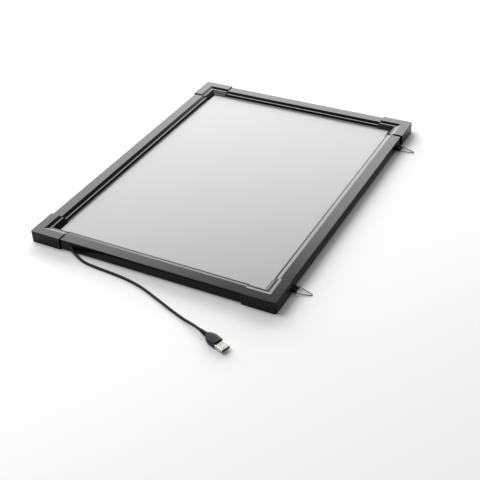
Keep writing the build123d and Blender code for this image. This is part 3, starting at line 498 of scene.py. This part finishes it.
# How far along the grip, and half its width there
LEAF_MM = [(0.0, 2.6), (0.5, 3.35), (2.0, 4.4), (4.0, 5.6), (6.5, 6.65), (9.0, 7.2), (11.0, 7.3),
           (13.5, 7.2), (16.0, 6.95), (18.6, 6.65), (19.6, 6.3), (20.0, 5.7)]
GROOVES_MM = (8.2, 10.6, 13.0)
GROOVE_DEPTH_MM = 0.35
GROOVE_WIDTH_MM = 0.42


def leaf_width(along):
    """Half the grip's width at a distance along it, between the table's places."""
    for (near, low), (far, high) in zip(LEAF_MM, LEAF_MM[1:]):
        if along <= far:
            share = (along - near) / (far - near)
            return low + (high - low) * share
    return LEAF_MM[-1][1]


def squared(value):
    """A sine or cosine pushed outwards, which turns a circle into a rounded box."""
    return math.copysign(abs(value) ** GRIP_SQUARENESS, value)


def grip_section(along, steps=56):
    """One rounded section across the grip: points out to the side and up, in millimetres."""
    half_width = leaf_width(along)
    end_round = min(1.0, 0.62 + along / 2.2, 0.7 + (GRIP_LENGTH_MM - along) / 1.6)
    half_height = GRIP_THICKNESS_MM / 2 * end_round
    dip = sum(math.exp(-((along - groove) / GROOVE_WIDTH_MM) ** 2) for groove in GROOVES_MM)
    points = []
    for step in range(steps):
        angle = 2 * math.pi * step / steps
        edge = abs(math.cos(angle)) ** 6
        reach = half_width - GROOVE_DEPTH_MM * dip * edge
        points.append((squared(math.cos(angle)) * reach, squared(math.sin(angle)) * half_height))
    return points


def grip_rings():
    """The grip's sections in place along the plug, closer together towards both ends."""
    rings = []
    for index in range(GRIP_SECTIONS + 1):
        along = GRIP_LENGTH_MM * (0.5 - 0.5 * math.cos(math.pi * index / GRIP_SECTIONS))
        centre = PLUG_TAIL + PLUG_HEADING * (TAIL_LENGTH + along * MM)
        rings.append([centre + PLUG_SIDE * side * MM + Vector((0, 0, rise * MM))
                      for side, rise in grip_section(along)])
    return rings


plug_moulding = new_finish("plug_moulding", PLASTIC_BLACK, 0.34, Specular_IOR_Level=0.35)
add_grain(plug_moulding, 2600, 0.000015, 0.05)
plug_grip = soften(loft("plug_grip", grip_rings(), plug_moulding), 55)
tail_line = smooth_line("tail_line", [
    PLUG_TAIL, PLUG_TAIL + PLUG_HEADING * 4 * MM, PLUG_TAIL + PLUG_HEADING * 8 * MM,
    PLUG_TAIL + PLUG_HEADING * TAIL_LENGTH])
plug_tail = grow(tail_line, BOOT, "plug_tail", plug_moulding, {
    "Start Radius": 2.0 * MM, "End Radius": 3.15 * MM, "Rib Depth": 0.5 * MM, "Count Ribs": 6})
soften(plug_tail, 60)
print("grip faces", len(plug_grip.data.polygons))

# %% [markdown]
# ## Screws
# Sixteen countersunk screws hold the frame together from below and four small ones hold the
# hangers. They are all the same shape at two sizes, so one tree makes them: a cone and a shank,
# with a cross cut into the head by a boolean, placed on one point per screw. The points come from
# the model's own screws, and each is turned by a random but seeded angle, as a hand leaves them.

# %% Screws
def solids_of(name):
    """The lowest and highest corner of every separate solid in a CAD node."""
    shape = bmesh.new()
    shape.from_mesh(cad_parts[name].data)
    bmesh.ops.remove_doubles(shape, verts=shape.verts, dist=1e-6)
    seen, found = set(), []
    for seed in shape.verts:
        if seed in seen:
            continue
        seen.add(seed)
        island, queue = [], [seed]
        while queue:
            vert = queue.pop()
            island.append(vert.co.copy())
            for edge in vert.link_edges:
                other = edge.other_vert(vert)
                if other not in seen:
                    seen.add(other)
                    queue.append(other)
        low = [min(co[i] for co in island) for i in range(3)]
        high = [max(co[i] for co in island) for i in range(3)]
        found.append((low, high))
    shape.free()
    return found


def points_object(name, places):
    """A mesh object that is nothing but one vertex per place, for a tree to put things on."""
    mesh = bpy.data.meshes.new(name)
    mesh.from_pydata([tuple(place) for place in places], [], [])
    return add_object(name, mesh)


TURN_SEED = 7


def screw_tree():
    """A head-down screw on every point: countersunk or flat head, shank and cross recess."""
    tree, given = new_tree("screws", [
        "Head Radius", "Neck Radius", "Head Height", "Shank Length", "Shank Radius",
        "Drive Length", "Drive Width", "Drive Depth"])
    head = node_of(tree, "GeometryNodeMeshCone", {
        "Vertices": 32, "Radius Top": given["Neck Radius"], "Radius Bottom": given["Head Radius"],
        "Depth": given["Head Height"]})
    shank = node_of(tree, "GeometryNodeMeshCylinder", {
        "Vertices": 20, "Radius": given["Shank Radius"], "Depth": given["Shank Length"]})
    lift = node_of(tree, "ShaderNodeCombineXYZ", {"Z": math_of(
        tree, "ADD", given["Head Height"], math_of(tree, "MULTIPLY", given["Shank Length"], 0.5))})
    shank = node_of(tree, "GeometryNodeTransform",
                    {"Geometry": shank.outputs[0], "Translation": lift.outputs[0]})
    double_depth = math_of(tree, "MULTIPLY", given["Drive Depth"], 2)
    bars = []
    for x, y in (("Drive Length", "Drive Width"), ("Drive Width", "Drive Length")):
        size = node_of(tree, "ShaderNodeCombineXYZ", {"X": given[x], "Y": given[y], "Z": double_depth})
        bars.append(node_of(tree, "GeometryNodeMeshCube", {"Size": size.outputs[0]}))
    cut = node_of(tree, "GeometryNodeMeshBoolean", {"Mesh 1": head.outputs[0]}, operation="DIFFERENCE")
    for bar in bars:
        tree.links.new(bar.outputs[0], cut.inputs["Mesh 2"])
    screw = node_of(tree, "GeometryNodeJoinGeometry")
    tree.links.new(cut.outputs[0], screw.inputs[0])
    tree.links.new(shank.outputs[0], screw.inputs[0])
    turn = node_of(tree, "FunctionNodeRandomValue",
                   {0: (0, 0, 0), 1: (0, 0, math.pi), "Seed": TURN_SEED}, data_type="FLOAT_VECTOR")
    spin = node_of(tree, "FunctionNodeEulerToRotation", {0: turn.outputs[0]})
    placed = node_of(tree, "GeometryNodeInstanceOnPoints", {
        "Points": given["Geometry"], "Instance": screw.outputs[0], "Rotation": spin.outputs[0]})
    end_tree(tree, placed.outputs[0], given["Finish"])
    return tree


def feet_of(name):
    """The point in the middle of each solid's lowest face: where a head-down screw starts."""
    return [((low[0] + high[0]) / 2, (low[1] + high[1]) / 2, low[2]) for low, high in solids_of(name)]


SCREWS = screw_tree()
screw_black = add_grain(new_finish("black_oxide", (0.03, 0.03, 0.032), 0.32, 0.9), 2600, 0.00001, 0.06)
# In millimetres
SCREW_SIZES = {
    "frame_screws": {"Head Radius": 2.6, "Neck Radius": 1.45, "Head Height": 1.1, "Shank Radius": 1.45,
                     "Shank Length": 4.1, "Drive Length": 2.8, "Drive Width": 0.7, "Drive Depth": 0.6},
    "hanger_screws": {"Head Radius": 1.8, "Neck Radius": 1.7, "Head Height": 0.5, "Shank Radius": 1.0,
                      "Shank Length": 4.4, "Drive Length": 2.5, "Drive Width": 0.6,
                      "Drive Depth": 0.25},
}
screws = {}
for name, sizes in SCREW_SIZES.items():
    feet = feet_of(name)
    in_metres = {size: value * MM for size, value in sizes.items()}
    screws[name] = grow(points_object(name + "_points", feet), SCREWS, name + "_cut", screw_black,
                        in_metres)
    soften(screws[name], 40)
    print(name, "on", len(feet), "points,", len(screws[name].data.polygons), "faces")

# %% [markdown]
# ## LEDs
# Each strip carries a row of small packages, all in the yellow of their phosphor, with a window
# that faces the light guide. A row is a pattern, so it is another tree: one package on every point
# of a line. The window is a slightly raised, narrower block, and both are a few faces only.

# %% LEDs
def led_tree():
    """A package and its window on every point. Facing is +1 or -1 along X."""
    tree, given = new_tree("led_row", ["Depth", "Length", "Height", "Window", "Facing"])

    def block(x, y, z, shift):
        size = node_of(tree, "ShaderNodeCombineXYZ", {"X": x, "Y": y, "Z": z})
        place = node_of(tree, "ShaderNodeCombineXYZ", {"X": shift})
        cube = node_of(tree, "GeometryNodeMeshCube", {"Size": size.outputs[0]})
        return node_of(tree, "GeometryNodeTransform",
                       {"Geometry": cube.outputs[0], "Translation": place.outputs[0]})

    window = given["Window"]
    body_depth = math_of(tree, "SUBTRACT", given["Depth"], window)
    shift = math_of(tree, "MULTIPLY", window, math_of(tree, "MULTIPLY", given["Facing"], -0.5))
    body = block(body_depth, given["Length"], given["Height"], shift)
    face = math_of(tree, "MULTIPLY", given["Facing"], math_of(tree, "MULTIPLY", body_depth, 0.5))
    lens = block(window, math_of(tree, "MULTIPLY", given["Length"], 0.8),
                 math_of(tree, "MULTIPLY", given["Height"], 0.7), face)
    both = node_of(tree, "GeometryNodeJoinGeometry")
    tree.links.new(body.outputs[0], both.inputs[0])
    tree.links.new(lens.outputs[0], both.inputs[0])
    placed = node_of(tree, "GeometryNodeInstanceOnPoints",
                     {"Points": given["Geometry"], "Instance": both.outputs[0]})
    end_tree(tree, placed.outputs[0], given["Finish"])
    return tree


LEDS = led_tree()
LED_WINDOW = 0.15 * MM
led_rows = {}
for name, facing in (("leds_left", 1.0), ("leds_right", -1.0)):
    boxes = solids_of(name)
    middles = [[(a + b) / 2 for a, b in zip(low, high)] for low, high in boxes]
    depth, length, height = (high - low for low, high in zip(*boxes[0]))
    led_rows[name] = grow(
        points_object(name + "_points", middles), LEDS, name + "_row", bpy.data.materials["phosphor"],
        {"Depth": depth, "Length": length, "Height": height, "Window": LED_WINDOW, "Facing": facing})
    print(name, len(middles), "LEDs")

# %% [markdown]
# ## Fix every piece to the model
# A piece moves with a body of the model and stands for the CAD nodes it replaces, which are hidden.

# %% Ride and replace
PIECES = [
    (usb_lead, ["usb_cord"], "cord_rubber"),
    (gland_boot, ["cord_gland"], "cord_rubber"),
    (flange, [], "cord_rubber"),
    (plug_grip, ["usb_plug_grip"], "plug_plastic"),
    (plug_tail, ["usb_plug_tail"], "plug_plastic"),
    (screws["frame_screws"], ["frame_screws"], "screw_black"),
    (screws["hanger_screws"], ["hanger_screws"], "screw_black"),
    (led_rows["leds_left"], ["leds_left"], "led_body"),
    (led_rows["leds_right"], ["leds_right"], "led_body"),
]
for piece, replaced, slot in PIECES:
    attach(piece, "panel")
    if replaced:
        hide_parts(*replaced)
print("pieces", [piece.name for piece, _, _ in PIECES])
